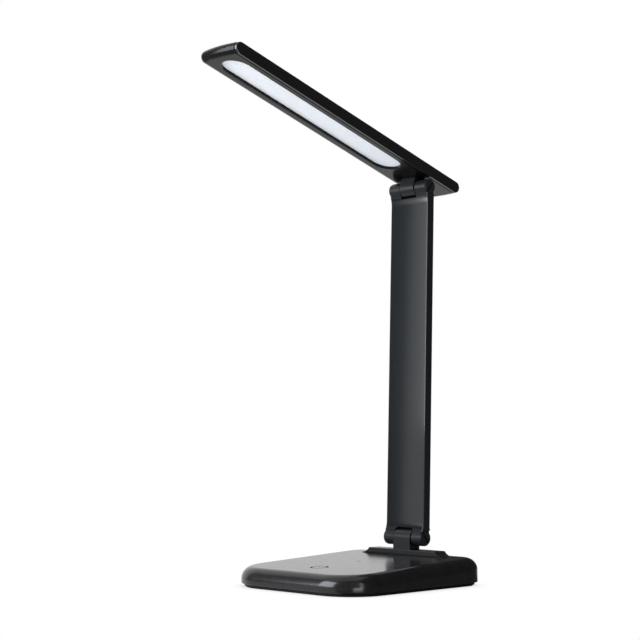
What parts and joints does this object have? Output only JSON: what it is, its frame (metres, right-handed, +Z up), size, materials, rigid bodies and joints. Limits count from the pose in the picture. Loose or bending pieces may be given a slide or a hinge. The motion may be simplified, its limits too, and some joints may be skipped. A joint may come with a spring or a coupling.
{
  "type": "folding desk lamp",
  "caption": "Free-standing desk lamp with a wedge-topped rounded base, a touch mark, a flat folding arm and a slim flat LED head on friction hinges.",
  "frame": {"origin": "middle of the base's outline, on the desk", "axes": "+Z up; -Y is the front, where the head reaches over; +X is on the right of someone who faces the lamp's front"},
  "size_m": [0.1316, 0.2369, 0.3791],
  "materials": {
    "gloss_black": "glossy black ABS",
    "satin_black": "satin black ABS, lightly grained",
    "cover_black": "matte black ABS",
    "foot_rubber": "matte non-slip sheet",
    "zinc_steel": "zinc-plated steel",
    "foil": "battery pouch foil",
    "lead_red": "insulated wire",
    "cable_jacket": "flexible cable jacket",
    "circuit_green": "solder mask",
    "chip_black": "moulded chip housings",
    "socket_steel": "drawn bright steel",
    "mark_grey": "matte dark grey inlay",
    "copper": "copper foil",
    "smoked": "smoked clear plastic",
    "nylon": "natural nylon",
    "brass_pin": "turned brass",
    "opal": "opal diffuser",
    "white": "white reflector",
    "board_white": "white-masked aluminium board",
    "phosphor": "phosphor on white"
  },
  "bodies": {
    "base": {"base_shell": "gloss_black", "bottom_cover": "cover_black", "foot_pad": "foot_rubber", "cover_screws": "zinc_steel", "ballast_plate": "zinc_steel", "battery_pack": "foil", "battery_leads": "lead_red", "main_board": "circuit_green", "board_components": "chip_black", "board_screws": "zinc_steel", "charging_socket": "socket_steel", "touch_ring": "mark_grey", "touch_dot": "mark_grey", "touch_plate": "copper", "touch_board": "circuit_green", "touch_board_parts": "chip_black", "touch_leads": "cable_jacket", "indicator_window": "smoked", "hinge_bracket": "satin_black", "clamp_plate": "zinc_steel", "bracket_screws": "zinc_steel", "base_cable": "cable_jacket", "lower_bush": "brass_pin"},
    "arm": {"lower_shaft": "zinc_steel", "lower_washers": "nylon", "lower_springs": "zinc_steel", "lower_nut": "zinc_steel", "lower_caps": "satin_black", "lower_arm_knuckle": "satin_black", "arm_front_shell": "satin_black", "arm_rear_cover": "satin_black", "arm_screws": "zinc_steel", "arm_cable": "cable_jacket", "upper_arm_knuckle": "satin_black", "upper_shaft": "zinc_steel", "upper_washers": "nylon", "upper_springs": "zinc_steel", "upper_nut": "zinc_steel", "upper_caps": "satin_black"},
    "head": {"upper_bush": "brass_pin", "head_knuckle": "satin_black", "flange_screws": "zinc_steel", "head_shell": "gloss_black", "head_panel": "gloss_black", "diffuser": "opal", "reflector": "white", "led_board": "board_white", "led_chips": "phosphor", "head_cable": "cable_jacket"}
  },
  "joints": [
    {"name": "arm_fold", "type": "hinge", "parent": "base", "child": "arm", "pos_m": [0, 0.0559, 0.03249], "axis": [1, 0, 0], "range_deg": [-3.5, 90]},
    {"name": "head_tilt", "type": "hinge", "parent": "arm", "child": "head", "pos_m": [0, 0.06342, 0.30168], "axis": [1, 0, 0], "range_deg": [-74.4, 105.6]}
  ]
}
